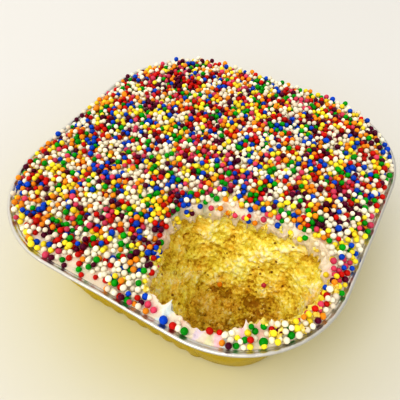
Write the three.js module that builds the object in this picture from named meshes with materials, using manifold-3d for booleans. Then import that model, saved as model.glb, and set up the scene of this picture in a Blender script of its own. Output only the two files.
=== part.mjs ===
// A small square yellow cake in its own foil tin, iced in white and covered with sugar beads.
// One serving has been scooped out of the front right corner, down to a thin floor of crumb.
// Millimetres, +Z up. The origin is the middle of the tin's underside, and the scooped corner
// points towards +X and -Y.
import * as THREE from "three";
import { mergeVertices } from "three/addons/utils/BufferGeometryUtils.js";
import Module from "manifold-3d";

// Foil tin: a rounded square that narrows towards its base, with upright flutes along its flat
// sides and a rolled rim.
const TIN_HEIGHT = 38;
const RIM_SIDE = 108;
const RIM_CORNER = 33;
const BASE_SIDE = 84;
const BASE_CORNER = 20;
const ROLL_RADIUS = 0.85; // of the rim's rolled edge
const FOIL = 0.5; // thickness of the wall
const FLUTES = 9; // along each flat side
const FLUTE_DEPTH = 0.8;
const CORNER_STEPS = 8;
const BASE_ROUND = 2; // radius where the wall turns into the base
const ROLL_STEPS = 7;
const ROLL_START = -1.1; // the roll's arc, in radians up from its outermost line
const ROLL_END = 2.6;
const RIM_FLARE = 3.5; // the wall turns outwards this far below the rim

// Sponge and icing
const GAP = 0.35; // between one solid and the next
const SPONGE_EASE = 0.3; // the sponge's side stands back this much further below its top
const ICING = 5; // thickness of the icing
const CROWN = 1.5; // how far the icing rises from the wall to the middle
const TILT = 0.75; // the icing stands this much higher in the back right corner
const ICING_AT_WALL = -0.3; // the icing's edge, measured from the top of the rim
const LIP = 0.8; // rounding of the icing where it meets the wall
const COAT = 1; // the small sugar beads, packed side by side, raise the surface this much
const COAT_EDGE = [1, 3.5]; // the coat starts and is full this far from the wall and hollow

// Scooped hollow, as distances from its middle at even angles, starting at +X and turning left
const HOLLOW = new THREE.Vector2(25, -28);
const HOLLOW_REACH = [
  22.8, 24.8, 25, 20.5, 18.5, 19, 21.5, 24.5, 23.5, 22.7, 24.6, 22, 21, 18.8, 17.8, 20.9,
];
const HOLLOW_FLOOR = 5.5; // height of the crumb left on the base
const HOLLOW_INSET = 11.5; // how far the walls lean in on their way down
const HOLLOW_CURVE = 1.4; // above 1 the walls are steeper near the mouth
const HOLLOW_LEVELS = [1, 0.85, 0.68, 0.5, 0.33, 0.18, 0.06]; // rings of the wall, 1 at the mouth
const FLOOR_RING = 0.6; // share of the way out of the one ring on its floor
const FLOOR_DIP = 0.6; // the floor is this much deeper there
const AROUND = 72; // facets round the hollow
const CRAG = 0.7; // roughness of the torn crumb
const TEAR = 0.8; // roughness of the torn icing
const TORN_DROP = 0.9; // rounding of the icing's torn upper edge
const TOP_RINGS = 4; // on the icing's top, from one edge of the full coat to the other
const WIDEST_EDGE = 0.3; // the coat's edge is at most this share of the way to the wall

// Sugar beads: the largest ones, spread evenly, each fused to the icing
const BEAD_PITCH = 6.75;
const BEAD_JITTER = 1.3;
const SUGAR_RADIUS = [0.85, 0.95];
const SUNK = 0.1; // share of a sugar bead's radius that its middle stands above the coat
const CLEAR_OF_EDGE = 1.5; // from a bead's middle to the wall or to the torn edge

const ICING_BASE = TIN_HEIGHT + ICING_AT_WALL - TILT - ICING; // lowest point under the icing
const MERGE_DISTANCE = 1e-4; // points nearer than this are one
const TURN = 2 * Math.PI;
const lerp = THREE.MathUtils.lerp;

// A repeatable random number from 0 to 1.
function seeded(seed) {
  let state = seed;
  return () => {
    state = (state * 1664525 + 1013904223) % 4294967296;
    return state / 4294967296;
  };
}

// A closed wavy line round the hollow, from -1 to 1, for torn edges.
function tornLine(seed) {
  const random = seeded(seed);
  const waves = [5, 9, 14, 23].map((count) => ({ count, phase: random() * TURN }));
  return (angle) =>
    waves.reduce((sum, wave) => sum + Math.sin(wave.count * angle + wave.phase), 0) / waves.length;
}

// Half the tin's outer side and its corner radius at a height.
function tinAt(z) {
  const share = z / TIN_HEIGHT;
  return {
    half: lerp(BASE_SIDE / 2, RIM_SIDE / 2 - 2 * ROLL_RADIUS, share),
    corner: lerp(BASE_CORNER, RIM_CORNER - 2 * ROLL_RADIUS, share),
  };
}

// How far a point lies outside a rounded square, and below zero inside it.
function outside(x, y, half, corner) {
  const flat = half - corner;
  const dx = Math.abs(x) - flat;
  const dy = Math.abs(y) - flat;
  return Math.hypot(Math.max(dx, 0), Math.max(dy, 0)) + Math.min(Math.max(dx, dy), 0) - corner;
}

// The point where a line from the hollow's middle meets a rounded square.
function wallPoint(angle, half, corner) {
  let near = 0;
  let far = 2 * RIM_SIDE;
  for (let i = 0; i < 40; i++) {
    const middle = (near + far) / 2;
    const x = HOLLOW.x + middle * Math.cos(angle);
    const y = HOLLOW.y + middle * Math.sin(angle);
    if (outside(x, y, half, corner) < 0) near = middle;
    else far = middle;
  }
  return new THREE.Vector2(HOLLOW.x + near * Math.cos(angle), HOLLOW.y + near * Math.sin(angle));
}

// The hollow's reach at an angle: a smooth closed line through HOLLOW_REACH.
function hollowReach(angle) {
  const count = HOLLOW_REACH.length;
  const place = ((angle / TURN + 1) % 1) * count;
  const first = Math.floor(place);
  const t = place - first;
  const [a, b, c, d] = [-1, 0, 1, 2].map((step) => HOLLOW_REACH[(first + step + count) % count]);
  return b + 0.5 * t * (c - a + t * (2 * a - 5 * b + 4 * c - d + t * (3 * (b - c) + d - a)));
}

function hollowPoint(angle, change = 0) {
  const reach = hollowReach(angle) + change;
  return new THREE.Vector2(HOLLOW.x + reach * Math.cos(angle), HOLLOW.y + reach * Math.sin(angle));
}

// How far a point of the icing is from the hollow's edge.
function fromHollow(x, y) {
  const angle = Math.atan2(y - HOLLOW.y, x - HOLLOW.x);
  return Math.hypot(x - HOLLOW.x, y - HOLLOW.y) - hollowReach(angle);
}

// Height of the icing: crowned in the middle, higher towards the back right corner.
function icingTop(x, y) {
  const { half, corner } = tinAt(TIN_HEIGHT);
  const inward = Math.min(1, -outside(x, y, half, corner) / half);
  const crown = CROWN * (1 - (1 - inward) ** 2);
  return TIN_HEIGHT + ICING_AT_WALL + crown + (TILT * (x + y)) / RIM_SIDE;
}

// Height of the coat of sugar beads, which thins out towards the wall and the hollow.
function coatTop(x, y) {
  const { half, corner } = tinAt(TIN_HEIGHT);
  const inside = Math.min(fromHollow(x, y), -outside(x, y, half, corner));
  return icingTop(x, y) + COAT * THREE.MathUtils.smoothstep(inside, ...COAT_EDGE);
}

// A closed skin through rings. Each ring gives a point for an angle, and the rings follow each
// other from the inside of the lower face round to the upper face.
function skin(rings, segments) {
  const profile = rings.map((ring, j) => new THREE.Vector2(1, j));
  const geometry = new THREE.LatheGeometry(profile, segments);
  const position = geometry.getAttribute("position");
  for (let i = 0; i <= segments; i++) {
    const angle = ((i % segments) / segments) * TURN;
    rings.forEach((ring, j) => position.setXYZ(i * rings.length + j, ...ring(angle, i % segments)));
  }
  geometry.deleteAttribute("normal");
  geometry.deleteAttribute("uv");
  return geometry;
}

const wasm = await Module();
wasm.setup();

// A geometry as a solid, without the flat faces that a skin has at its poles.
function solidFrom(geometry) {
  const merged = mergeVertices(geometry, MERGE_DISTANCE);
  const index = merged.index.array;
  const faces = [];
  for (let i = 0; i < index.length; i += 3) {
    const [a, b, c] = [index[i], index[i + 1], index[i + 2]];
    if (a !== b && b !== c && c !== a) faces.push(a, b, c);
  }
  return new wasm.Manifold(
    new wasm.Mesh({
      numProp: 3,
      vertProperties: new Float32Array(merged.getAttribute("position").array),
      triVerts: new Uint32Array(faces),
    }),
  );
}

function geometryFrom(solid) {
  const mesh = solid.getMesh();
  const geometry = new THREE.BufferGeometry();
  geometry.setAttribute("position", new THREE.BufferAttribute(mesh.vertProperties, 3));
  geometry.setIndex(new THREE.BufferAttribute(mesh.triVerts, 1));
  geometry.computeVertexNormals();
  return geometry;
}

// Foil tin ---------------------------------------------------------------------------------

// Steps along one quarter of the tin's outline: half a flat side, a corner, half a flat side.
const FLAT_STEPS = 2 * FLUTES;
const SIDE_STEPS = FLAT_STEPS + CORNER_STEPS;

// A ring of the tin's outline, with its flutes standing out by a share of their depth.
function tinRing(half, corner, z, flute) {
  return (angle, i) => {
    const side = Math.floor(i / SIDE_STEPS);
    const step = i % SIDE_STEPS;
    const flat = half - corner;
    let along;
    let out;
    if (step < FLAT_STEPS) {
      along = lerp(-flat, flat, step / FLAT_STEPS);
      out = half + (step % 2 ? flute * FLUTE_DEPTH : 0);
    } else {
      const bend = (((step - FLAT_STEPS) / CORNER_STEPS) * Math.PI) / 2;
      along = flat + corner * Math.sin(bend);
      out = flat + corner * Math.cos(bend);
    }
    const middle = new THREE.Vector2();
    const turned = new THREE.Vector2(out, along).rotateAround(middle, (side * TURN) / 4);
    return [turned.x, turned.y, z];
  };
}

function tinWallRing(z, inward, flute) {
  const { half, corner } = tinAt(z);
  return tinRing(half - inward, corner - inward, z, flute);
}

function foilTin() {
  const rollMiddle = RIM_SIDE / 2 - ROLL_RADIUS;
  const rollCorner = RIM_CORNER - ROLL_RADIUS;
  const rings = [];
  rings.push(() => [0, 0, 0]);
  rings.push(tinWallRing(0, BASE_ROUND, 0));
  rings.push(tinWallRing(BASE_ROUND, 0, 1));
  rings.push(tinWallRing(TIN_HEIGHT - RIM_FLARE, 0, 1));
  for (let step = 0; step <= ROLL_STEPS; step++) {
    const bend = lerp(ROLL_START, ROLL_END, step / ROLL_STEPS);
    const out = ROLL_RADIUS * Math.cos(bend);
    const up = ROLL_RADIUS * Math.sin(bend);
    rings.push(tinRing(rollMiddle + out, rollCorner + out, TIN_HEIGHT - ROLL_RADIUS + up, 0));
  }
  rings.push(tinWallRing(TIN_HEIGHT - RIM_FLARE, FOIL, 1));
  rings.push(tinWallRing(BASE_ROUND + FOIL, FOIL, 1));
  rings.push(tinWallRing(FOIL, BASE_ROUND + FOIL, 0));
  rings.push(() => [0, 0, FOIL]);
  return skin(rings, 4 * SIDE_STEPS);
}

// Sponge -----------------------------------------------------------------------------------

const spongeTop = (x, y) => icingTop(x, y) - ICING;

function spongeWallRing(z, inward) {
  return (angle) => {
    const { half, corner } = tinAt(z);
    const at = wallPoint(angle, half - FOIL - GAP - inward, corner - FOIL - GAP - inward);
    return [at.x, at.y, z];
  };
}

// A ring of the hollow's wall: share 0 is its floor and 1 its mouth.
function hollowRing(share, torn) {
  return (angle) => {
    const lean = HOLLOW_INSET * (1 - share) ** HOLLOW_CURVE;
    const at = hollowPoint(angle, -lean + CRAG * torn(angle));
    const z = lerp(HOLLOW_FLOOR, spongeTop(at.x, at.y) - GAP, share);
    return [at.x, at.y, z + (CRAG / 2) * (1 - share) * torn(angle + 1)];
  };
}

// A ring of the sponge's top between the hollow and the wall.
function spongeTopRing(share) {
  return (angle) => {
    const { half, corner } = tinAt(ICING_BASE);
    const inner = hollowPoint(angle);
    const outer = wallPoint(angle, half - FOIL - GAP, corner - FOIL - GAP);
    const at = inner.lerp(outer, share);
    return [at.x, at.y, spongeTop(at.x, at.y) - GAP];
  };
}

function sponge() {
  const rings = [];
  const bottom = FOIL + GAP;
  rings.push(() => [0, 0, bottom]);
  rings.push(spongeWallRing(bottom, BASE_ROUND + SPONGE_EASE));
  rings.push(spongeWallRing(bottom + BASE_ROUND, SPONGE_EASE));
  rings.push(spongeWallRing(TIN_HEIGHT / 2, SPONGE_EASE));
  rings.push(spongeTopRing(1));
  rings.push(spongeTopRing(0.5));
  HOLLOW_LEVELS.forEach((share, level) => rings.push(hollowRing(share, tornLine(40 + level))));
  const edge = hollowRing(0, tornLine(50));
  const crags = tornLine(51);
  rings.push((angle) => {
    const [x, y, z] = edge(angle);
    const dip = FLOOR_DIP - CRAG * crags(angle);
    return [lerp(HOLLOW.x, x, FLOOR_RING), lerp(HOLLOW.y, y, FLOOR_RING), z - dip];
  });
  rings.push(() => [HOLLOW.x, HOLLOW.y, HOLLOW_FLOOR - FLOOR_DIP]);
  return skin(rings, AROUND);
}

// Icing and sugar beads --------------------------------------------------------------------

// A ring of the icing between the hollow's torn edge and the wall, drop below its top.
function icingRing(share, torn, drop, inward = 0) {
  return (angle) => {
    const { half, corner } = tinAt(drop < ICING ? TIN_HEIGHT : ICING_BASE);
    const inset = FOIL + GAP + inward;
    const inner = hollowPoint(angle, TEAR * torn(angle));
    const outer = wallPoint(angle, half - inset, corner - inset);
    const at = inner.lerp(outer, share);
    return [at.x, at.y, icingTop(at.x, at.y) - drop];
  };
}

// A ring of its beaded top, from place 0 near the hollow to 1 near the wall.
function coatRing(place, torn) {
  return (angle) => {
    const { half, corner } = tinAt(TIN_HEIGHT);
    const inner = hollowPoint(angle, TEAR * torn(angle));
    const outer = wallPoint(angle, half - FOIL - GAP, corner - FOIL - GAP);
    const edge = Math.min(WIDEST_EDGE, COAT_EDGE[1] / inner.distanceTo(outer));
    const at = inner.lerp(outer, lerp(edge, 1 - edge, place));
    return [at.x, at.y, coatTop(at.x, at.y)];
  };
}

function icing() {
  const edge = tornLine(7);
  const lip = tornLine(8);
  const rings = [];
  rings.push(icingRing(0.5, edge, ICING));
  rings.push(icingRing(1, edge, ICING));
  rings.push(icingRing(1, edge, LIP));
  rings.push(icingRing(1, edge, 0, LIP));
  for (let ring = TOP_RINGS - 1; ring >= 0; ring--)
    rings.push(coatRing(ring / (TOP_RINGS - 1), edge));
  rings.push(icingRing(0, edge, TORN_DROP));
  rings.push(icingRing(0, lip, ICING / 2));
  rings.push(icingRing(0, lip, ICING));
  rings.push(icingRing(0.5, edge, ICING));
  return skin(rings, AROUND);
}

// True where a sugar bead can lie on the icing, clear of the wall and of the torn edge.
function bearsBead(x, y) {
  const { half, corner } = tinAt(TIN_HEIGHT);
  const clearOfWall = outside(x, y, half, corner) < -CLEAR_OF_EDGE - FOIL - GAP;
  return clearOfWall && fromHollow(x, y) > CLEAR_OF_EDGE + TEAR;
}

function sugarBeads() {
  const random = seeded(3);
  const beads = [];
  const rowStep = (BEAD_PITCH * Math.sqrt(3)) / 2;
  const rows = Math.floor(RIM_SIDE / rowStep / 2);
  for (let row = -rows; row <= rows; row++)
    for (let column = -rows; column <= rows; column++) {
      const x = (column + (row % 2) / 2) * BEAD_PITCH + lerp(-BEAD_JITTER, BEAD_JITTER, random());
      const y = row * rowStep + lerp(-BEAD_JITTER, BEAD_JITTER, random());
      const radius = lerp(...SUGAR_RADIUS, random());
      if (!bearsBead(x, y)) continue;
      const bead = new THREE.IcosahedronGeometry(radius, 0);
      bead.deleteAttribute("normal");
      bead.deleteAttribute("uv");
      bead.rotateZ(random() * TURN);
      bead.translate(x, y, coatTop(x, y) + SUNK * radius);
      beads.push(solidFrom(bead));
    }
  return beads;
}

const beadedIcing = geometryFrom(wasm.Manifold.union([solidFrom(icing()), ...sugarBeads()]));

// Assembly ---------------------------------------------------------------------------------

function part(name, geometry, color, roughness, metalness) {
  const mesh = new THREE.Mesh(
    geometry,
    new THREE.MeshStandardMaterial({ color, roughness, metalness }),
  );
  mesh.name = name;
  return mesh;
}

const cake = new THREE.Group();
cake.add(part("foil_tin", foilTin(), "#c8a63c", 0.3, 1));
cake.add(part("sponge", sponge(), "#dcb23e", 0.9, 0));
cake.add(part("beaded_icing", beadedIcing, "#f4ecdf", 0.5, 0));

export default cake;
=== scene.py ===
import math
import random

import bmesh
import bpy
import numpy as np
from mathutils import Euler, Matrix, Vector, noise
from mathutils.bvhtree import BVHTree


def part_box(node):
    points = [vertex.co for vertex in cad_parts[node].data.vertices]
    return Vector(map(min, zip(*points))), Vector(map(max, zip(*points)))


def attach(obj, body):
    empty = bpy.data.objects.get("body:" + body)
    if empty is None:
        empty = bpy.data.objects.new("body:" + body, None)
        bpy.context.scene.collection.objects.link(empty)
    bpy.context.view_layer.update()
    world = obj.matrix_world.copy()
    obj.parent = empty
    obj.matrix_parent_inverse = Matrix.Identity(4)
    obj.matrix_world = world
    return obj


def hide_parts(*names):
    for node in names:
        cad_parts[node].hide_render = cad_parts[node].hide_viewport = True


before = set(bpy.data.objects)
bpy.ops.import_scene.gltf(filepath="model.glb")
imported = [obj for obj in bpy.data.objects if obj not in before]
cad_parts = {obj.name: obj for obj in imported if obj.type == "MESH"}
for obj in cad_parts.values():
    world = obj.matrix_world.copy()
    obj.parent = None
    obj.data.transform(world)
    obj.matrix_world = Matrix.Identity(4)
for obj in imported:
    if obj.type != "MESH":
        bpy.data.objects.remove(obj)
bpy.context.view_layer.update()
noise.seed_set(4)  # noise_vector would otherwise differ from run to run

MM = 0.001
TURN = 2 * math.pi

# Sizes ------------------------------------------------------------------------------------

_, TIN_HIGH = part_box("foil_tin")
TIN_HEIGHT = TIN_HIGH.z / MM
RIM_HALF = TIN_HIGH.x / MM
RIM_CORNER = 33
BASE_HALF = 42
BASE_CORNER = 20
RIM_WIDTH = 1.7  # from the wall to the rim's outer edge
ROLL_RADIUS = 0.65  # of the rim's rolled edge
FOIL = 0.35
FLUTES = 9  # along each flat side
FLUTE_DEPTH = 0.8

WALL_GAP = 0.9  # from the tin's outer face to the sponge and to the icing's underside
SPONGE_GAP = 0.35  # between the sponge and the icing
ICING = 5  # thickness
CROWN = 1.5  # how far the icing rises from the wall to the middle
TILT = 0.75  # it stands this much higher in the back right corner
ICING_AT_WALL = -0.3  # its edge, measured from the top of the rim

HOLLOW = Vector((25, -28))  # its middle
HOLLOW_REACH = (  # from its middle to its edge, at even angles that start from +X
    22.8, 24.8, 25, 20.5, 18.5, 19, 21.5, 24.5, 23.5, 22.7, 24.6, 22, 21, 18.8, 17.8, 20.9,
)
HOLLOW_FLOOR = 5.5
HOLLOW_INSET = 11.5  # how far its walls lean in on their way down

BEAD_DROPS = 6600
BEAD_RADIUS = 0.84
BEAD_SPREAD = 0.07  # how much their radius varies
BEAD_LIMITS = (0.68, 1.1)  # the smallest and the largest radius
BEAD_SUNK = 0.4  # share of its radius that a bead's middle stands above the icing
BEAD_COAT = 2.1  # no bead's middle is higher above the icing
EDGE_COAT = 0.8  # the same close to the wall, where they lie no higher than the rim


# Small helpers ----------------------------------------------------------------------------

def mix(a, b, share):
    return a + (b - a) * share


def ramp(value, low, high):
    """0 below low, 1 above high and smooth between them."""
    share = min(max((value - low) / (high - low), 0), 1)
    return share * share * (3 - 2 * share)


def linear(colour):
    """A hex sRGB colour as linear red, green, blue and alpha."""
    parts = [int(colour[i:i + 2], 16) / 255 for i in (1, 3, 5)]
    return [c / 12.92 if c <= 0.04045 else ((c + 0.055) / 1.055) ** 2.4 for c in parts] + [1]


def direction(azimuth, elevation):
    """The way from the cake to a place around it, in degrees. Azimuth 0 is in front of it."""
    a, e = math.radians(azimuth), math.radians(elevation)
    return Vector((math.sin(a) * math.cos(e), -math.cos(a) * math.cos(e), math.sin(e)))


def nearby(cells, x, y, width):
    """What a grid of square cells holds in the cell of a point and the eight round it."""
    i, j = int(x // width), int(y // width)
    return [
        thing
        for a in (i - 1, i, i + 1) for b in (j - 1, j, j + 1)
        for thing in cells.get((a, b), ())
    ]


def put_in_cell(cells, x, y, width, thing):
    cells.setdefault((int(x // width), int(y // width)), []).append(thing)


def torn(angle, seed):
    """A closed wavy line round the hollow, from -1 to 1."""
    waves = random.Random(seed)
    counts = (5, 9, 14, 23)
    return sum(math.sin(n * angle + waves.random() * TURN) for n in counts) / len(counts)


def ridged(point):
    """Noise with sharp ridges, from -1 to 1."""
    return 1 - 2 * abs(noise.noise(point)) ** 0.8


def layered(point, *layers):
    """Noise in layers, each given as its height and the size of its features."""
    return sum(height * noise.noise(point / size) for height, size in layers)


# Forms ------------------------------------------------------------------------------------

def tin_at(z):
    """Half the tin's outer side and its corner radius at a height."""
    share = z / TIN_HEIGHT
    half = mix(BASE_HALF, RIM_HALF - RIM_WIDTH, share)
    return half, mix(BASE_CORNER, RIM_CORNER - RIM_WIDTH, share)


def outside(x, y, half, corner):
    """How far a point lies outside a rounded square, and below zero inside it."""
    dx = abs(x) - half + corner
    dy = abs(y) - half + corner
    return math.hypot(max(dx, 0), max(dy, 0)) + min(max(dx, dy), 0) - corner


def wall_reach(angle, half, corner):
    """The distance from the hollow's middle to a rounded square."""
    near, far = 0, 4 * RIM_HALF
    for _ in range(24):
        middle = (near + far) / 2
        inside = outside(*around(middle, angle), half, corner) < 0
        near, far = (middle, far) if inside else (near, middle)
    return near


def hollow_reach(angle):
    """The hollow's outline: a smooth closed line through HOLLOW_REACH."""
    count = len(HOLLOW_REACH)
    place = (angle / TURN % 1) * count
    first = int(place)
    t = place - first
    a, b, c, d = (HOLLOW_REACH[(first + step) % count] for step in (-1, 0, 1, 2))
    return b + 0.5 * t * (c - a + t * (2 * a - 5 * b + 4 * c - d + t * (3 * (b - c) + d - a)))


def icing_top(x, y):
    """The height of the icing's top, before its marks and peaks."""
    half, corner = tin_at(TIN_HEIGHT)
    inward = min(1, -outside(x, y, half, corner) / half)
    crown = CROWN * (1 - (1 - inward) ** 2)
    return TIN_HEIGHT + ICING_AT_WALL + crown + TILT * (x + y) / (2 * RIM_HALF)


def around(reach, angle):
    """The point at a distance and an angle from the hollow's middle."""
    return HOLLOW.x + reach * math.cos(angle), HOLLOW.y + reach * math.sin(angle)


def outward(angle):
    return Vector((math.cos(angle), math.sin(angle), 0))


def from_hollow(x, y):
    """A point's angle round the hollow's middle, and how far it lies past the hollow's edge."""
    angle = math.atan2(y - HOLLOW.y, x - HOLLOW.x) % TURN
    return angle, math.hypot(x - HOLLOW.x, y - HOLLOW.y) - hollow_reach(angle)


# Making meshes ----------------------------------------------------------------------------

def spun_skin(rings, steps, place):
    """A closed skin: a straight line of rings spun round Z, and each point then moved to
    place(step, ring). Rings that shrink to a point or meet another ring are merged."""
    shape = bmesh.new()
    line = [shape.verts.new((1, 0, ring)) for ring in range(rings)]
    edges = [shape.edges.new(pair) for pair in zip(line, line[1:])]
    bmesh.ops.spin(
        shape, geom=[*line, *edges], cent=(0, 0, 0), axis=(0, 0, 1), angle=TURN,
        steps=steps, use_merge=True, use_normal_flip=False, use_duplicate=False,
    )
    for point in shape.verts:
        step = round(math.atan2(point.co.y, point.co.x) / TURN * steps) % steps
        point.co = place(step, round(point.co.z))
    bmesh.ops.remove_doubles(shape, verts=shape.verts, dist=1e-4)
    bmesh.ops.recalc_face_normals(shape, faces=shape.faces)
    return shape


def add_object(name, data):
    thing = bpy.data.objects.new(name, data)
    bpy.context.scene.collection.objects.link(thing)
    return thing


def finished(shape, name, materials, replaced=None):
    """Turns a shape in millimetres into a smooth piece in metres that rides on the cake."""
    bmesh.ops.scale(shape, vec=(MM, MM, MM), verts=shape.verts)
    mesh = bpy.data.meshes.new(name)
    shape.to_mesh(mesh)
    shape.free()
    for material in materials:
        mesh.materials.append(material)
    mesh.shade_smooth()
    piece = add_object(name, mesh)
    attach(piece, "root")
    if replaced:
        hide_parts(replaced)


# Materials --------------------------------------------------------------------------------

def add_node(tree, kind, settings=None, links=None):
    """Adds a node. A setting named by a capital or a number is an input, and any other is a
    property; links join sockets to inputs."""
    node = tree.nodes.new(kind)
    inputs = {}
    for key, value in (settings or {}).items():
        if isinstance(key, int) or key[0].isupper():
            inputs[key] = value
        else:
            setattr(node, key, value)
    for key, value in inputs.items():
        node.inputs[key].default_value = value
    for key, source in (links or {}).items():
        tree.links.new(source, node.inputs[key])
    return node


def new_material(name):
    material = bpy.data.materials.new(name)
    material.use_nodes = True
    tree = material.node_tree
    return material, tree, tree.nodes["Principled BSDF"], add_node(tree, "ShaderNodeTexCoord")


def size_scale(millimetres):
    """The scale that gives a pattern on Object coordinates features of that size."""
    return 1 / (millimetres * MM)


def set_inputs(shader, **values):
    for name, value in values.items():
        shader.inputs[name.replace("_", " ")].default_value = value


def set_ramp(node, stops):
    """Gives a colour ramp its stops, as places and hex colours."""
    elements = node.color_ramp.elements
    while len(elements) < len(stops):
        elements.new(1)
    for element, (place, colour) in zip(elements, stops):
        element.position = place
        element.color = linear(colour)


def ramp_node(tree, factor, stops):
    node = add_node(tree, "ShaderNodeValToRGB", {}, {"Fac": factor})
    set_ramp(node, stops)
    return node


def noise_node(tree, vector, size, **inputs):
    """A noise texture with features of a size in millimetres."""
    return add_node(
        tree, "ShaderNodeTexNoise", {"Scale": size_scale(size), **inputs}, {"Vector": vector},
    )


def attribute(tree, name):
    return add_node(tree, "ShaderNodeAttribute", {"attribute_name": name})


def add_bump(tree, shader, height, strength, depth, **settings):
    """Gives a shader a relief with a depth in millimetres."""
    bump = add_node(
        tree, "ShaderNodeBump", {"Strength": strength, "Distance": depth * MM, **settings},
        {"Height": height},
    )
    tree.links.new(bump.outputs["Normal"], shader.inputs["Normal"])


def foil(name, colour, edge_tint, roughness, pleats):
    """Rolled aluminium foil, pressed into shape: mirror-bright, with faint creases and, by
    the height of pleats, fine upright pleats that break up its reflections. The lacquer
    gives the gold side its colour."""
    material, tree, shader, place = new_material(name)
    set_inputs(
        shader, Base_Color=linear(colour), Metallic=1, Roughness=roughness,
        Specular_Tint=linear(edge_tint),
    )
    drawn, upright = (
        add_node(
            tree, "ShaderNodeMapping", {"Scale": (1, 1, squeezed)},
            {"Vector": place.outputs["Object"]},
        )
        for squeezed in (0.3, 0.1)
    )
    creases = noise_node(tree, drawn.outputs["Vector"], 5, Detail=4, Distortion=0.8)
    pleated = noise_node(tree, upright.outputs["Vector"], 0.9, Detail=2)
    pressed = add_node(
        tree, "ShaderNodeMath", {"operation": "MULTIPLY_ADD", 1: pleats},
        {0: pleated.outputs["Fac"], 2: creases.outputs["Fac"]},
    )
    add_bump(tree, shader, pressed.outputs[0], 0.8, 0.5)
    return material


def sponge_crumb():
    """Baked yellow sponge: moist grains, each a little lighter or darker than the next, with
    small dark pits. Painted light follows the relief attribute: painted highlights on the torn
    lumps, painted shade in the creases and pores and towards the hollow's floor. It browns
    towards the tin, and the hollow's floor is browned as painted shade."""
    material, tree, shader, place = new_material("sponge_crumb")
    set_inputs(
        shader, Roughness=0.66, Subsurface_Weight=0.2, Subsurface_Scale=0.7 * MM,
        Subsurface_Radius=(1.0, 0.85, 0.35), Specular_IOR_Level=0.3,
    )
    at = place.outputs["Object"]
    bend = noise_node(tree, at, 1.5, Detail=2)
    bent = add_node(
        tree, "ShaderNodeMix", {"data_type": "RGBA", "blend_type": "ADD", 0: 0.6 * MM},
        {6: at, 7: bend.outputs["Color"]},
    )
    grain = add_node(
        tree, "ShaderNodeTexVoronoi", {"Scale": size_scale(0.9)}, {"Vector": bent.outputs[2]},
    )
    each_grain = add_node(
        tree, "ShaderNodeMath", {"operation": "MULTIPLY_ADD", 1: 0.45, 2: -0.08},
        {0: grain.outputs["Color"]},
    )
    fine = noise_node(tree, at, 0.9, Detail=4, Roughness=0.65)
    finer = add_node(
        tree, "ShaderNodeMath", {"operation": "MULTIPLY_ADD", 1: 1.05},
        {0: fine.outputs["Fac"], 2: each_grain.outputs[0]},
    )
    # painted light: a high relief makes the crumb paler, a painted highlight on its lumps, and a
    # low one darker, painted shade in its creases, its pores and towards the floor
    both = add_node(
        tree, "ShaderNodeMath", {"operation": "ADD"},
        {0: finer.outputs[0], 1: attribute(tree, "relief").outputs["Fac"]},
    )
    tones = ramp_node(tree, both.outputs[0], [
        (0.18, "#BE9824"), (0.42, "#ECD450"), (0.7, "#FFF286"), (0.96, "#FFFDDC"),
    ])
    patches = noise_node(tree, at, 6, Detail=4, Roughness=0.6)
    tint = ramp_node(tree, patches.outputs["Fac"], [
        (0.34, "#FFE09C"), (0.48, "#FFFFFF"), (0.64, "#F0F8C0"),
    ])
    colour = add_node(
        tree, "ShaderNodeMix", {"data_type": "RGBA", "blend_type": "MULTIPLY", 0: 0.6},
        {6: tones.outputs["Color"], 7: tint.outputs["Color"]},
    )
    pits = add_node(tree, "ShaderNodeTexVoronoi", {"Scale": size_scale(3.8)}, {"Vector": at})
    specks = ramp_node(tree, pits.outputs["Distance"], [(0.08, "#7A5A20"), (0.14, "#FFFFFF")])
    specked = add_node(
        tree, "ShaderNodeMix", {"data_type": "RGBA", "blend_type": "MULTIPLY", 0: 0.9},
        {6: colour.outputs[2], 7: specks.outputs["Color"]},
    )
    # browned by the real crust against the tin and by the painted shade on the hollow's floor
    browned = add_node(
        tree, "ShaderNodeMix",
        {"data_type": "RGBA", "blend_type": "MULTIPLY", 7: linear("#A8642A")},
        {0: attribute(tree, "crust_and_shade").outputs["Fac"], 6: specked.outputs[2]},
    )
    tree.links.new(browned.outputs[2], shader.inputs["Base Color"])
    rounded = add_node(
        tree, "ShaderNodeMath", {"operation": "MULTIPLY_ADD", 1: 0.6},
        {0: fine.outputs["Fac"], 2: grain.outputs["Distance"]},
    )
    add_bump(tree, shader, rounded.outputs[0], 0.55, 0.4, invert=True)
    return material


def butter_icing():
    """Whipped butter icing: creamy white, soft and slightly shiny. Colour has bled into it
    from the beads, also as painted shade between them, and painted shade greys it towards
    the wall."""
    material, tree, shader, place = new_material("butter_icing")
    set_inputs(
        shader, Roughness=0.42, Subsurface_Weight=0.35, Subsurface_Scale=1.5 * MM,
        Subsurface_Radius=(1.0, 0.8, 0.6), Specular_IOR_Level=0.45,
    )
    cream = noise_node(tree, place.outputs["Object"], 5, Detail=3)
    tones = ramp_node(tree, cream.outputs["Fac"], [(0.3, "#E0D3BF"), (0.7, "#F2E7D5")])
    dye_and_shade = attribute(tree, "dye_and_shade")
    # the beads' colour and the painted shade, laid over the cream
    bled = add_node(
        tree, "ShaderNodeMix", {"data_type": "RGBA"},
        {0: dye_and_shade.outputs["Alpha"], 6: tones.outputs["Color"], 7: dye_and_shade.outputs["Color"]},
    )
    tree.links.new(bled.outputs[2], shader.inputs["Base Color"])
    fine = noise_node(tree, place.outputs["Object"], 0.9, Detail=4, Roughness=0.6)
    add_bump(tree, shader, fine.outputs["Fac"], 0.5, 0.35)
    return material


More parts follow.
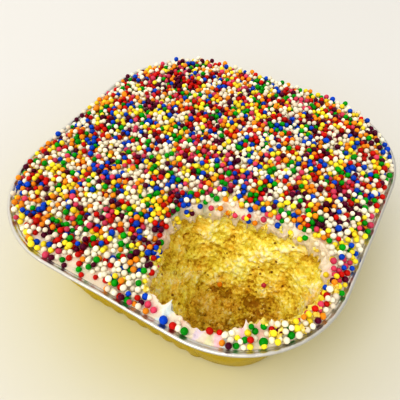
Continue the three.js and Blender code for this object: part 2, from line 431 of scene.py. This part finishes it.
def sugar_shell(name, colour):
    """Sugar beads, panned in coloured syrup: hard, glossy, a little paler or deeper from
    one bead to the next, with a faintly pitted skin."""
    material, tree, shader, place = new_material("sugar_" + name)
    set_inputs(
        shader, Roughness=0.26, Subsurface_Weight=0.05, Subsurface_Scale=0.4 * MM,
        Subsurface_Radius=(1.0, 0.7, 0.5), Specular_IOR_Level=0.2,
    )
    deep = [c * 0.78 for c in linear(colour)[:3]] + [1]
    pale = [min(c * 1.15, 0.95) for c in linear(colour)[:3]] + [1]
    shade = add_node(
        tree, "ShaderNodeMix", {"data_type": "RGBA", 6: deep, 7: pale},
        {0: attribute(tree, "tone").outputs["Fac"]},
    )
    tree.links.new(shade.outputs[2], shader.inputs["Base Color"])
    pits = noise_node(tree, place.outputs["Object"], 0.5, Detail=2)
    add_bump(tree, shader, pits.outputs["Fac"], 0.15, 0.1)
    return material


# Foil tin ---------------------------------------------------------------------------------

FLUTE_STEPS = 8  # facets across a flute
FLUTE_BLUNTNESS = 0.8  # below 1, the flutes are round and the grooves between them sharp
CORNER_STEPS = 32
FLAT_STEPS = FLUTES * FLUTE_STEPS
SIDE_STEPS = FLAT_STEPS + CORNER_STEPS
INSIDE_HEIGHTS = (4, 10, 18, 26, 31, 34)
ROLL_RINGS = 15
ROLL_FROM, ROLL_TO = 2.8, -1.3  # round the roll from the shoulder to below it, in radians
WALL_RINGS = 18
DENTS = ((0.35, 9), (0.12, 3.5))  # in the wall: how deep and how wide
RIM_BENDS = (0.2, 16)  # how far the rim strays to the side, and over what length
RIM_WAVES = (0.2, 14)  # how far it strays up and down
LACQUER_EDGE = 1.18  # the gold ends this far below the top of the rim


def outline_point(step, half, corner):
    """A point on the tin's outline, its outward direction, and its place along a flat side
    in flutes, or None on a corner."""
    side, along = divmod(step, SIDE_STEPS)
    flat = half - corner
    if along < FLAT_STEPS:
        point = Vector((half, mix(-flat, flat, along / FLAT_STEPS)))
        out = Vector((1, 0))
        flute = along / FLUTE_STEPS
    else:
        bend = (along - FLAT_STEPS) / CORNER_STEPS * math.pi / 2
        out = Vector((math.cos(bend), math.sin(bend)))
        point = Vector((flat, flat)) + corner * out
        flute = None
    turn = Matrix.Rotation(side * math.pi / 2, 2)
    return turn @ point, turn @ out, flute


def tin_profile():
    """Rings of the tin from the middle of its floor's inside, up the inside, over the narrow
    shoulder and the roll of its rim and down the outside: height, distance in from the
    wall's outer face, and whether the flutes show."""
    top = TIN_HEIGHT
    rings = [(FOIL, None, 0), (FOIL, 3, 0), (1.2, FOIL + 0.5, 0.4)]
    rings += [(z, FOIL, 1) for z in INSIDE_HEIGHTS]
    rings += [(top - 2.2, FOIL, 0.4), (top - 1.2, FOIL, 0), (top - 0.8, FOIL - 0.05, 0)]
    rings += [(top - 0.65, 0.15, 0), (top - 0.58, -0.05, 0), (top - 0.56, -0.3, 0)]
    for step in range(ROLL_RINGS):
        bend = mix(ROLL_FROM, ROLL_TO, step / (ROLL_RINGS - 1))
        out = RIM_WIDTH - ROLL_RADIUS * (1 - math.cos(bend))
        rings.append((top - ROLL_RADIUS * (1 - math.sin(bend)), -out, 0))
    rings += [(top - 1.25, -0.8, 0), (top - 1.25, -0.1, 0)]
    rings += [(top - 1.9, 0, 0.1), (top - 3, 0, 0.5)]
    for step in range(WALL_RINGS):
        rings.append((mix(top - 4.4, 2.4, step / (WALL_RINGS - 1)), 0, 1))
    rings += [(1.5, 0.25, 0.8), (0.8, 0.7, 0.5), (0.25, 1.4, 0.2), (0, 2.4, 0), (0, 6, 0)]
    return rings + [(0, None, 0)]


def foil_tin():
    """The tin, as one skin of foil with shallow dents, gold outside and silver inside and on
    the rim."""
    rings = tin_profile()

    def place(step, ring):
        z, inward, fluted = rings[ring]
        if inward is None:
            return Vector((0, 0, z))
        half, corner = tin_at(z)
        point, out, flute = outline_point(step, half - inward, corner - inward)
        shift = 0
        if flute is not None:
            shift = FLUTE_DEPTH * fluted * abs(math.sin(math.pi * flute)) ** FLUTE_BLUNTNESS
        at = Vector((point.x, point.y, z))
        if 0 < z < TIN_HEIGHT - 3:
            shift += layered(at, *DENTS) * min(1, z / 4)
        else:
            shift += layered(at, RIM_BENDS)
            at.z += layered(Vector((point.x, point.y, 40)), RIM_WAVES) * ramp(z, 20, 36)
        return at + Vector((out.x, out.y, 0)) * shift

    shape = spun_skin(len(rings), 4 * SIDE_STEPS, place)
    for face in shape.faces:
        middle = face.calc_center_median()
        half, corner = tin_at(middle.z)
        on_wall = outside(middle.x, middle.y, half, corner) < 0.6
        away = Vector((middle.x, middle.y, 0)).normalized()
        faces_out = face.normal.dot(away) > 0.3 or middle.z < 0.2
        on_rim = middle.z > TIN_HEIGHT - LACQUER_EDGE
        face.material_index = int(on_rim or on_wall and not faces_out)
    materials = [
        foil("gold_foil", "#D8C830", "#F0E4A0", 0.2, 0.35),
        foil("silver_foil", "#D0CEC8", "#F6F4F0", 0.3, 0),
    ]
    finished(shape, "tin", materials, "foil_tin")


# Sponge -----------------------------------------------------------------------------------

AROUND = 420  # steps round the hollow
FOOT_HEIGHT = 1  # the sponge's underside, above the table
FOOT_INSET = 3  # in from the tin's own foot
SIDE_HEIGHTS = (3, 18, 31.4)  # rings of points up the sponge's sides
HOLLOW_RINGS = 96
FLOOR_RINGS = 50
FLOOR_DIP = 0.5  # the floor is this much lower in its middle
TEAR_LINE = -0.01  # past the hollow's edge, with room for rounding, the sponge is plain
FLOOR_PAINTED_BROWN = 0.42  # painted shade: how brown the hollow's floor is made, where 1 is the crust's brown
FLOOR_PAINTED_SHADE = 0.22  # painted shade: how much deeper the crumb's tone is made at the hollow's floor


def granules(point, size):
    """Rounded granules with sharp creases between them, 0 at a crease and 1 on a top."""
    return 1 - min(noise.voronoi(point / size)[0][0] / 0.75, 1) ** 1.7


def crumb_relief(point):
    """How far torn crumb stands out at a point, in millimetres: lumps, granules, finer
    roughness and a few open pores."""
    lumps = layered(point, (1.4, 8), (0.8, 3.5))
    bent = point + 0.4 * noise.noise_vector(point / 1.5)
    grains = 0.5 * granules(bent, 2.6) + 0.6 * granules(bent, 1.3)
    grains += layered(point, (0.5, 1.3), (0.3, 0.7))
    pore = noise.voronoi(point / 3.6 + Vector((7, 3, 1)))[0][0]
    return lumps + grains - 0.8 - 0.7 * (1 - ramp(pore, 0.08, 0.2))


def sponge(material):
    """The sponge, finely torn where the hollow shows it and plain against the tin. Returns
    its surface, in millimetres, for what lies on it."""
    angles = [step / AROUND * TURN for step in range(AROUND)]
    foot = [wall_reach(a, BASE_HALF - FOOT_INSET, BASE_CORNER - FOOT_INSET) for a in angles]
    sides = []
    for z in SIDE_HEIGHTS:
        half, corner = tin_at(z)
        sides.append([wall_reach(a, half - WALL_GAP, corner - WALL_GAP) for a in angles])
    rim_ring = 2 + len(SIDE_HEIGHTS)
    wall_rings = rim_ring + 1

    def hollow_wall(step, share):
        angle = angles[step]
        lean = HOLLOW_INSET * (1 - share) ** 1.4
        x, y = around(hollow_reach(angle) - lean, angle)
        z = mix(HOLLOW_FLOOR, icing_top(x, y) - ICING - SPONGE_GAP, share)
        return Vector((x, y, z))

    def place(step, ring):
        angle = angles[step]
        if ring == 0:
            return Vector((0, 0, FOOT_HEIGHT))
        if ring == 1:
            return Vector((*around(foot[step], angle), FOOT_HEIGHT))
        if ring < rim_ring:
            return Vector((*around(sides[ring - 2][step], angle), SIDE_HEIGHTS[ring - 2]))
        if ring == rim_ring:
            x, y = around(mix(hollow_reach(angle), sides[-1][step], 0.35), angle)
            return Vector((x, y, icing_top(x, y) - ICING - SPONGE_GAP))
        inner = ring - wall_rings
        if inner <= HOLLOW_RINGS:
            return hollow_wall(step, 1 - inner / HOLLOW_RINGS)
        share = (inner - HOLLOW_RINGS) / FLOOR_RINGS
        at = Vector((*HOLLOW, HOLLOW_FLOOR)).lerp(hollow_wall(step, 0), 1 - share)
        at.z -= FLOOR_DIP * math.sin(share * math.pi / 2)
        return at

    shape = spun_skin(wall_rings + HOLLOW_RINGS + FLOOR_RINGS + 1, AROUND, place)
    shape.normal_update()
    relief = shape.verts.layers.float.new("relief")
    crust_and_shade = shape.verts.layers.float.new("crust_and_shade")
    moves = []
    for point in shape.verts:
        x, y, z = point.co
        inward = -from_hollow(x, y)[1]
        is_torn = inward > TEAR_LINE and z > 2
        height = crumb_relief(point.co) if is_torn else 0
        # painted shade: the crumb darkens towards the hollow's floor
        shade = FLOOR_PAINTED_SHADE * (1 - ramp(z, 5, 11))
        # painted light: the crumb's tone follows its relief, paler on the lumps and darker in the
        # creases and pores
        point[relief] = min(max(0.28 * height + 0.02, -0.5), 0.4) - shade
        crust_and_floor_shade = 1 - ramp(-outside(x, y, *tin_at(z)), 1.5, 4.5)
        # painted shade: the hollow's floor is browned, on top of the real crust against the tin
        crust_and_floor_shade = max(crust_and_floor_shade, FLOOR_PAINTED_BROWN * (1 - ramp(z, 4.5, 12)))
        point[crust_and_shade] = crust_and_floor_shade * (0.6 + 0.5 * noise.noise(point.co / 4))
        moves.append(point.normal * height * ramp(inward, TEAR_LINE, 0.6))
    for point, move in zip(shape.verts, moves):
        point.co += move
    surface = BVHTree.FromBMesh(shape)
    finished(shape, "crumb", [material], "sponge")
    return surface


def top_of(surfaces, x, y):
    """The height of the highest of some surfaces at a point, or None beside them all."""
    above, down = Vector((x, y, 2 * TIN_HEIGHT)), Vector((0, 0, -1))
    hits = [surface.ray_cast(above, down)[0] for surface in surfaces]
    return max((hit.z for hit in hits if hit), default=None)


CRUMB_BROWN = 0.25  # how brown the fallen crumbs are
CRUMB_ZONES = (  # how many crumbs, between which angles and reaches past the hollow's edge
    (80, (-0.75, 0.4), (-1.8, 2.6)),
    (12, (3.3, 4.1), (-1.2, 1.5)),
    (60, (0, TURN), (-20, -3)),
)
CLINGING = (  # crumbs on the icing's torn face: how many, between which angles, largest size
    (90, (-0.9, 0.4), 1.4), (30, (3.3, 4.0), 1.2), (30, (0.4, 3.3), 0.8),
)


def loose_crumbs(material, surfaces):
    """Crumbs broken off by the scooping: in the hollow, on the icing beside it and clinging
    to the icing's torn face."""
    draw = random.Random(41)
    shape = bmesh.new()
    relief = shape.verts.layers.float.new("relief")
    crust_and_shade = shape.verts.layers.float.new("crust_and_shade")

    def crumb(middle, size, browned):
        lump = bmesh.ops.create_icosphere(shape, subdivisions=3 if size > 0.7 else 2, radius=size)
        shift = Vector((draw.uniform(0, 90), 0, 0))
        for point in lump["verts"]:
            bulge = 1 + 0.8 * noise.noise(point.co / size * 1.3 + shift)
            bulge += 0.35 * noise.noise(point.co / 0.5 + shift)
            # painted light: each crumb is paler where it bulges out and darker in its dips
            point[relief] = 0.2 * bulge * draw.uniform(0.8, 1.1) - 0.25
            point[crust_and_shade] = browned
            point.co = middle + point.co * bulge

    for count, angles, reaches in CRUMB_ZONES:
        for _ in range(count):
            angle = draw.uniform(*angles)
            x, y = around(hollow_reach(angle) + draw.uniform(*reaches), angle)
            size = draw.uniform(0.25, 0.5) + 0.8 * draw.random() ** 3
            ground = top_of(surfaces, x, y)
            if ground is not None:
                crumb(Vector((x, y, ground + 0.3 * size)), size, CRUMB_BROWN)
    for count, angles, largest in CLINGING:
        for _ in range(count):
            angle = draw.uniform(*angles)
            edge = icing_top(*around(hollow_reach(angle), angle))
            z = edge - ICING * (1 - 0.8 * draw.random() ** 1.5)
            size = mix(0.4, largest, draw.random() ** 1.3)
            at = on_face(surfaces[1], angle, z) or on_face(surfaces[0], angle, z)
            crumb(at + outward(angle) * 0.2 * size, size, 0.5 * draw.random() ** 2)
    finished(shape, "loose_crumbs", [material])


# Icing ------------------------------------------------------------------------------------

TOP_RINGS = 110  # from the wall to the torn edge
FACE_RINGS = 20  # down the torn face
EDGE_RADIUS = 0.5  # rounding of the icing where it meets the wall
BARE_STRIP = (3.9, 5.02)  # the bare strip's stretch of the hollow's edge, in radians
STREAKS = (  # dye smeared down the bare strip: angle, half its width and colour
    (4.30, 0.04, "#A8C8CC"), (4.50, 0.04, "#E8B498"), (4.72, 0.045, "#BCA4C4"),
    (4.85, 0.04, "#C8C878"), (4.95, 0.045, "#D88CAA"), (5.03, 0.03, "#9CBCC8"),
    (5.24, 0.05, "#C8709C"), (5.48, 0.07, "#E08C6C"),
)
PEAKS = (  # the peaks pulled up round the hollow: angle, height and width in radians
    (4.25, 3.2, 0.035), (4.46, 1.6, 0.04), (5.30, 1.9, 0.035), (5.53, 1.4, 0.04),
    (5.66, 1.3, 0.05), (3.86, 1.2, 0.05), (3.05, 0.8, 0.04), (2.4, 1.0, 0.05), (1.9, 0.6, 0.04),
    (1.35, 1.0, 0.045), (0.85, 0.7, 0.04), (0.3, 0.9, 0.05),
)


def spread_marks(x, y):
    """Soft waves left in the icing by a spatula."""
    at = Vector((x / 13, y / 9, 2.5))
    return 0.45 * noise.noise(at) + 0.2 * noise.noise(at * 2.7)


def peaks(angle):
    """How high the torn edge is pulled up at an angle, in millimetres."""
    total = 0
    for at, height, width in PEAKS:
        away = abs((angle - at + math.pi) % TURN - math.pi)
        total += height * math.exp(-away / width)
    return total


def ragged(angle):
    """The short teeth of the torn edge, in millimetres."""
    at = Vector((*around(hollow_reach(angle), angle), 8))
    return layered(at, (0.7, 2.1)) - 0.5 * max(ridged(at / 2.7), 0) ** 2


def icing(beads):
    """The icing: its cut face drags over the crumb with a ragged lower edge, and its upper
    edge is pulled up into small peaks. Round coloured beads it has taken up their colour, which
    also stands in for painted shade between them, and painted shade greys it towards the wall."""
    angles = [step / AROUND * TURN for step in range(AROUND)]
    rim_half, rim_corner = tin_at(TIN_HEIGHT)
    wall = [wall_reach(a, rim_half - FOIL, rim_corner - FOIL) for a in angles]
    base_half, base_corner = tin_at(TIN_HEIGHT - ICING - 1)
    base = [wall_reach(a, base_half - WALL_GAP, base_corner - WALL_GAP) for a in angles]
    reaches = [hollow_reach(a) + 0.7 * torn(a, 7) + ragged(a) for a in angles]
    last = TOP_RINGS + FACE_RINGS + 5

    def face(angle, reach, share):
        """The torn face, from its upper edge at share 0 to its lower edge at 1."""
        x, y = around(reach, angle)
        peak = peaks(angle)
        foot = Vector((x, y, 0))
        low = layered(foot, (1.6, 5)) + 3.2 * max(ridged(foot / 3.2), 0) ** 3
        low += 0.7 * ridged(foot / 1.1)
        z = icing_top(x, y) - 0.25 + peak * (1 - share) ** 4
        z -= share * (ICING - 0.3 + max(low, -0.8))
        at = Vector((x, y, 0.8 * z))
        body = layered(at, (1, 5), (0.9, 2.4), (0.35, 0.9)) + 0.35 * ridged(at / 1.5)
        sag = 0.7 * math.sin(share * math.pi)
        hold = 1 - 0.6 * share ** 3
        inward = 0.7 * peak * (1 - share) ** 2 + sag + 0.5 * share - body * hold
        return Vector((*around(reach - inward, angle), z))

    lips = [face(angle, reach, 0) for angle, reach in zip(angles, reaches)]

    def place(step, ring):
        angle, reach, lip = angles[step], reaches[step], lips[step]
        if ring in (0, last):
            x, y = around(mix(reach, base[step], 0.5), angle)
            return Vector((x, y, icing_top(x, y) - ICING))
        if ring == 1:
            x, y = around(base[step], angle)
            return Vector((x, y, icing_top(x, y) - ICING))
        if ring == 2:
            x, y = around(wall[step], angle)
            return Vector((x, y, icing_top(x, y) - EDGE_RADIUS))
        if ring == 3:
            x, y = around(wall[step] - 0.15, angle)
            return Vector((x, y, icing_top(x, y) - 0.2))
        inner = ring - 4
        if inner > TOP_RINGS:
            return face(angle, reach, (inner - TOP_RINGS) / FACE_RINGS)
        share = (1 - inner / TOP_RINGS) ** 1.6
        at = around(mix(reach, wall[step] - EDGE_RADIUS, share), angle)
        away = share * (wall[step] - EDGE_RADIUS - reach)
        marks = spread_marks(*at) * ramp(wall[step] - reach - away, 0, 4)
        lift = math.exp(-away / 0.9)
        rough = layered(Vector((*at, 3)), (0.5, 1.8)) + layered(Vector((*at, 9)), (0.25, 0.9))
        rough *= 1 - ramp(away, 1, 6)
        flat = Vector((*at, icing_top(*at) + marks + rough))
        edge = around(reach, angle)
        flat.z += (lip.z - icing_top(*edge) + 0.1) * lift
        return flat + (Vector((lip.x, lip.y, 0)) - Vector((*edge, 0))) * lift

    shape = spun_skin(last + 1, AROUND, place)
    stain_and_shade(shape, beads)
    surface = BVHTree.FromBMesh(shape)
    finished(shape, "icing", [butter_icing()], "beaded_icing")
    return surface


STAIN_CELL = 3  # the grid that finds the beads near a point
STAIN_FADE = 0.6  # how soon a bead's dye fades
DYE_AND_SHADE_MOST = 0.75
WALL_SHADE_TINT = "#B09C74"  # painted shade that greys the icing towards the wall, under the rim


def stain_and_shade(shape, beads):
    """Colours the icing near each bead that bleeds, which also stands in for painted shade
    between the beads, along the smeared part of the hollow's edge, and greys it with painted
    shade towards the wall."""
    dye_and_shade = shape.verts.layers.float_color.new("dye_and_shade")
    cells = {}
    draw = random.Random(5)
    for x, y, z, radius, colour in beads:
        if colour != "white" and z < icing_top(x, y) + 1.2:
            # colour that bled from a low bead, made strong enough to stand in as well for painted
            # shade in the gaps between the beads
            bleeding = (x, y, radius, colour, draw.random() ** 1.5)
            put_in_cell(cells, x, y, STAIN_CELL, bleeding)
    half, corner = tin_at(TIN_HEIGHT)
    for point in shape.verts:
        x, y, z = point.co
        from_wall = -outside(x, y, half, corner)
        # painted shade: the icing greys towards the wall, under the rim
        amount, tint = 0.6 * (1 - ramp(from_wall, 0.5, 5)), WALL_SHADE_TINT
        for bx, by, radius, colour, strength in nearby(cells, x, y, STAIN_CELL):
            away = math.hypot(x - bx, y - by) - radius
            near = strength * math.exp(-max(away, 0) / STAIN_FADE)
            if near > amount:
                amount, tint = near, BEAD_COLOURS[colour][0]
        angle, past_edge = from_hollow(x, y)
        wander = layered(point.co, (0.03, 2))
        for at, width, colour in STREAKS:
            streak = math.exp(-((angle + wander - at) / width) ** 2)
            streak *= 1 - ramp(past_edge, 3.5, 6)
            if streak > amount:
                amount, tint = streak, colour
        diluted = [mix(0.85, c, 0.7) for c in linear(tint)[:3]]
        point[dye_and_shade] = (*diluted, min(amount, DYE_AND_SHADE_MOST))


# Sugar beads ------------------------------------------------------------------------------

BEAD_COLOURS = {  # each colour, and its share of the beads
    "white": ("#F3E7D2", 0.34),
    "yellow": ("#F6DC3C", 0.13),
    "orange": ("#EE9622", 0.10),
    "red": ("#C21A08", 0.12),
    "pink": ("#D04C6A", 0.07),
    "green": ("#009A10", 0.09),
    "blue": ("#044EC2", 0.09),
    "plum": ("#5A0030", 0.08),
}
MAP_STEP = 0.4  # between the points where the icing's height is looked up
RIM_REST = 0.9  # a bead this close to the tin's outer face rests on the rim
BEAD_CELL = 2.2  # the grid that finds a bead's neighbours
NOWHERE = 1000  # the height where no bead can lie
FIRST_ROLL, LAST_ROLL = 0.6, 0.07  # the lengths of a rolling bead's steps
ALIKE = 0.28  # the chance that a bead has the colour of one beside it


def heaped(x, y):
    """1 along the back wall, where the beads are heaped over the rim, and 0 elsewhere."""
    return ramp(y, 38, 48) * (1 - ramp(x, 28, 42))


def bead_chance(x, y, from_wall):
    """How readily a bead lands at a point: few near the front wall and on the bare strip,
    and none in the hollow or on the rim, other than along the back wall."""
    angle, past_edge = from_hollow(x, y)
    if from_wall < mix(0.5, -0.1, heaped(x, y)) or past_edge < 0.2:
        return 0
    chance = 0.85 + layered(Vector((x, y, 7)), (0.3, 11))
    if x < 8:
        chance *= mix(0.6, 1, ramp(y, -46, -22))
        if y < -30:  # a margin along the front wall, widest left of the hollow
            margin = mix(1.6, 3.6, ramp(x, -22, -10) - ramp(x, -2, 4))
            chance *= mix(0.15, 1, ramp(from_wall, margin - 1, margin))
    if past_edge < 9 and BARE_STRIP[0] < angle < 6:  # in front of the hollow
        bare_from = BARE_STRIP[0] + 0.3 * ramp(past_edge, 1, 4)
        if angle > BARE_STRIP[1]:
            return mix(0.42, 0.8, ramp(angle, 5.4, 5.8))
        return 0.03 if angle > bare_from else 0.6
    return chance


def icing_map():
    """For the points where beads can lie, the icing's height, the chance of a bead and how
    high beads may lie on it."""
    half, corner = tin_at(TIN_HEIGHT)
    count = round(half / MAP_STEP) + 1
    on_rim = TIN_HEIGHT - 0.15 + (0.9 - BEAD_SUNK) * BEAD_RADIUS
    spots = {}
    for i in range(-count, count + 1):
        for j in range(-count, count + 1):
            x, y = i * MAP_STEP, j * MAP_STEP
            from_wall = -outside(x, y, half, corner)
            chance = bead_chance(x, y, from_wall)
            if chance:
                z = icing_top(x, y) + spread_marks(x, y)
                if from_wall < RIM_REST:
                    z = max(z, on_rim)
                thick = max(ramp(from_wall, 0.5, 4), heaped(x, y))
                spots[i, j] = (z, chance, mix(EDGE_COAT, BEAD_COAT, thick))
    return spots


def settle_beads():
    """Drops the beads one by one. One that meets the icing sticks to it, and one that meets
    other beads rolls down over them until nothing lower is in reach."""
    draw = random.Random(11)
    spots = icing_map()
    cells = {}
    beads = []
    names = list(BEAD_COLOURS)
    shares = [share for _, share in BEAD_COLOURS.values()]

    def spot_at(x, y):
        return spots.get((round(x / MAP_STEP), round(y / MAP_STEP)))

    def height(x, y, radius, others):
        spot = spot_at(x, y)
        if not spot:
            return NOWHERE
        z = spot[0] + BEAD_SUNK * radius
        for bx, by, bz, other, _ in others:
            gap = (radius + other) ** 2 - (x - bx) ** 2 - (y - by) ** 2
            if gap > 0:
                z = max(z, bz + math.sqrt(gap))
        return z

    directions = [(math.cos(k * TURN / 6), math.sin(k * TURN / 6)) for k in range(6)]
    drops = 0
    while drops < BEAD_DROPS:
        x, y = (draw.uniform(-RIM_HALF, RIM_HALF) for _ in range(2))
        radius = min(max(draw.gauss(BEAD_RADIUS, BEAD_SPREAD), BEAD_LIMITS[0]), BEAD_LIMITS[1])
        spot = spot_at(x, y)
        if not spot or draw.random() > spot[1]:
            continue
        drops += 1
        others = nearby(cells, x, y, BEAD_CELL)
        z = height(x, y, radius, others)
        stride = FIRST_ROLL
        while stride > LAST_ROLL and z > spot[0] + BEAD_SUNK * radius + 0.05:
            options = [
                (height(x + u * stride, y + v * stride, radius, others), u, v)
                for u, v in directions
            ]
            lowest, u, v = min(options)
            if lowest < z - 0.01:
                x, y, z = x + u * stride, y + v * stride, lowest
                spot = spot_at(x, y)
                others = nearby(cells, x, y, BEAD_CELL)
            else:
                stride /= 2
        if z > spot[0] + spot[2]:
            continue
        alike = others and draw.random() < ALIKE
        colour = draw.choice(others)[4] if alike else draw.choices(names, shares)[0]
        bead = (x, y, z, radius, colour)
        put_in_cell(cells, x, y, BEAD_CELL, bead)
        beads.append(bead)
    return beads


STRAYS = (  # beads by the hollow's edge and in it: angle, reach past the edge, size and colour
    (3.58, 0.2, 0.85, "red"), (4.83, -0.4, 0.95, "red"), (4.95, -0.3, 0.8, "red"),
    (4.35, 3.0, 1.15, "blue"), (4.46, 2.6, 0.95, "red"), (4.52, 2.2, 0.9, "white"),
    (4.59, 2.0, 1.0, "green"), (4.03, 1.8, 0.9, "blue"), (5.46, 4.2, 1.15, "green"),
    (5.75, -4, 0.85, "white"), (3.9, -6, 0.8, "yellow"), (5.2, -12, 0.85, "blue"),
    (1.2, -7, 0.85, "pink"), (0.4, -9, 0.8, "white"), (2.4, -10, 0.9, "orange"),
)
STUCK = 48  # beads that hang on the icing's torn face


def on_face(surface, angle, z):
    """Where the hollow's face stands at an angle and a height."""
    return surface.ray_cast(Vector((*HOLLOW, z)), outward(angle))[0]


def stray_beads(surfaces):
    """The beads of STRAYS, and those that hang on the icing's torn face."""
    strays = []
    for angle, past_edge, radius, colour in STRAYS:
        x, y = around(hollow_reach(angle) + past_edge, angle)
        strays.append((x, y, top_of(surfaces, x, y) + 0.6 * radius, radius, colour))
    draw = random.Random(9)
    names = list(BEAD_COLOURS)
    for _ in range(STUCK):
        angle = draw.uniform(-0.5, BARE_STRIP[0])
        depth = 0.6 + 2.4 * draw.random() ** 2
        z = icing_top(*around(hollow_reach(angle), angle)) - depth
        at = on_face(surfaces[1], angle, z)
        radius = draw.uniform(0.78, 0.92)
        x, y = around((at.xy - HOLLOW).length - 0.5 * radius, angle)
        strays.append((x, y, z, radius, draw.choice(names)))
    return strays


OBLONG = 1.35  # how long the few misshapen beads are, 1 in 50
UNEVEN = (0.94, 1.06)  # how far a bead's three axes differ


def sugar_beads(beads):
    """Every bead as a small ball of 80 faces, joined in one piece for each colour."""
    ball = bmesh.new()
    bmesh.ops.create_icosphere(ball, subdivisions=2, radius=1)
    corners = np.array([v.co for v in ball.verts])
    faces = np.array([[v.index for v in f.verts] for f in ball.faces])
    ball.free()
    draw = random.Random(23)
    for name, (colour, _) in BEAD_COLOURS.items():
        chosen = [bead for bead in beads if bead[4] == name]
        points, polygons, tones = [], [], []
        for x, y, z, radius, _ in chosen:
            turn = np.array(Euler([draw.uniform(0, TURN) for _ in range(3)]).to_matrix())
            shape = np.array([draw.uniform(*UNEVEN) for _ in range(3)])
            if draw.random() < 1 / 50:
                shape[0] *= OBLONG
            points.append((corners * shape * radius) @ turn.T + (x, y, z))
            polygons.append(faces + len(corners) * len(polygons))
            tones += [draw.random()] * len(corners)
        mesh = bpy.data.meshes.new("beads_" + name)
        places = (np.concatenate(points) * MM).tolist()
        mesh.from_pydata(places, [], np.concatenate(polygons).tolist())
        mesh.attributes.new("tone", "FLOAT", "POINT").data.foreach_set("value", tones)
        mesh.materials.append(sugar_shell(name, colour))
        mesh.shade_smooth()
        piece = add_object("beads_" + name, mesh)
        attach(piece, "root")
        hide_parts("beaded_icing")


# Studio -----------------------------------------------------------------------------------

def table_top():
    """A pale, smooth table under everything, with a warm glow painted into its colour close
    by, standing in for the light that the gold foil throws on it."""
    material, tree, shader, place = new_material("pale_table")
    set_inputs(shader, Roughness=0.4, Specular_IOR_Level=0.35)
    away = add_node(
        tree, "ShaderNodeVectorMath", {"operation": "LENGTH"}, {0: place.outputs["Object"]},
    )
    # painted light: the table is warmer close to the tin, the glow of the gold foil
    tones = ramp_node(tree, away.outputs["Value"], [
        (0.045, "#CFCAB0"), (0.07, "#D0CEC2"), (0.1, "#D1D0CC"), (0.14, "#D2D2D1"),
    ])
    tree.links.new(tones.outputs["Color"], shader.inputs["Base Color"])
    shape = bmesh.new()
    bmesh.ops.create_grid(shape, x_segments=1, y_segments=1, size=1.5)
    mesh = bpy.data.meshes.new("table_top")
    shape.to_mesh(mesh)
    shape.free()
    mesh.materials.append(material)
    table = add_object("table_top", mesh)


def soft_light(name, azimuth, elevation, distance, size, power, colour):
    """A square soft box that faces the cake."""
    lamp = bpy.data.lights.new(name, "AREA")
    lamp.size = size
    lamp.energy = power
    lamp.color = linear(colour)[:3]
    light = add_object(name, lamp)
    away = direction(azimuth, elevation)
    light.location = away * distance
    light.rotation_euler = away.to_track_quat("Z", "Y").to_euler()


def studio():
    """A bright room that is a little darker behind the cake, with one soft box."""
    table_top()
    world = bpy.data.worlds.new("studio")
    world.use_nodes = True
    tree = world.node_tree
    place = add_node(tree, "ShaderNodeTexCoord")
    side = add_node(
        tree, "ShaderNodeVectorMath", {"operation": "DOT_PRODUCT", 1: (-0.35, -0.35, 0.1)},
        {0: place.outputs["Generated"]},
    )
    share = add_node(
        tree, "ShaderNodeMath", {"operation": "ADD", 1: 0.5}, {0: side.outputs["Value"]},
    )
    tones = ramp_node(tree, share.outputs[0], [
        (0, "#C6C4C0"), (0.3, "#D4D2CE"), (0.62, "#FFFBF4"), (1, "#FFFBF4"),
    ])
    sky = tree.nodes["Background"]
    sky.inputs["Strength"].default_value = 0.94
    tree.links.new(tones.outputs["Color"], sky.inputs["Color"])
    bpy.context.scene.world = world
    soft_light("key", -10, 58, 1.7, 0.8, 7, "#FFF9F0")
    bpy.context.scene.view_settings.view_transform = "Standard"
    bpy.context.scene.view_settings.look = "High Contrast"


# Camera -----------------------------------------------------------------------------------

CAMERA_AZIMUTH = 29.82
CAMERA_ELEVATION = 49.746
CAMERA_ROLL = 0.46
CAMERA_DISTANCE = 136.94
CAMERA_TARGET = (4.374, -13.025, TIN_HEIGHT)  # a point on the rim's plane
FOCAL_PIXELS = 452.4  # with a picture 400 pixels wide
PICTURE_PIXELS = 400
SENSOR = 36


def camera():
    """The photo's own view, solved from the outline of the rim."""
    lens = bpy.data.cameras.new("camera")
    lens.sensor_width = SENSOR
    lens.lens = FOCAL_PIXELS / PICTURE_PIXELS * SENSOR
    lens.clip_start = 0.01
    view = add_object("camera", lens)
    back = direction(CAMERA_AZIMUTH, CAMERA_ELEVATION)
    turned = Matrix.Rotation(math.radians(CAMERA_ROLL), 3, back)
    view.location = (Vector(CAMERA_TARGET) + back * CAMERA_DISTANCE) * MM
    view.rotation_euler = (turned @ back.to_track_quat("Z", "Y").to_matrix()).to_euler()
    bpy.context.scene.camera = view


camera()
studio()
foil_tin()
yellow_crumb = sponge_crumb()
sponge_surface = sponge(yellow_crumb)
settled = settle_beads()
icing_surface = icing(settled)
both_surfaces = (sponge_surface, icing_surface)
loose_crumbs(yellow_crumb, both_surfaces)
sugar_beads(settled + stray_beads(both_surfaces))

bpy.context.view_layer.update()
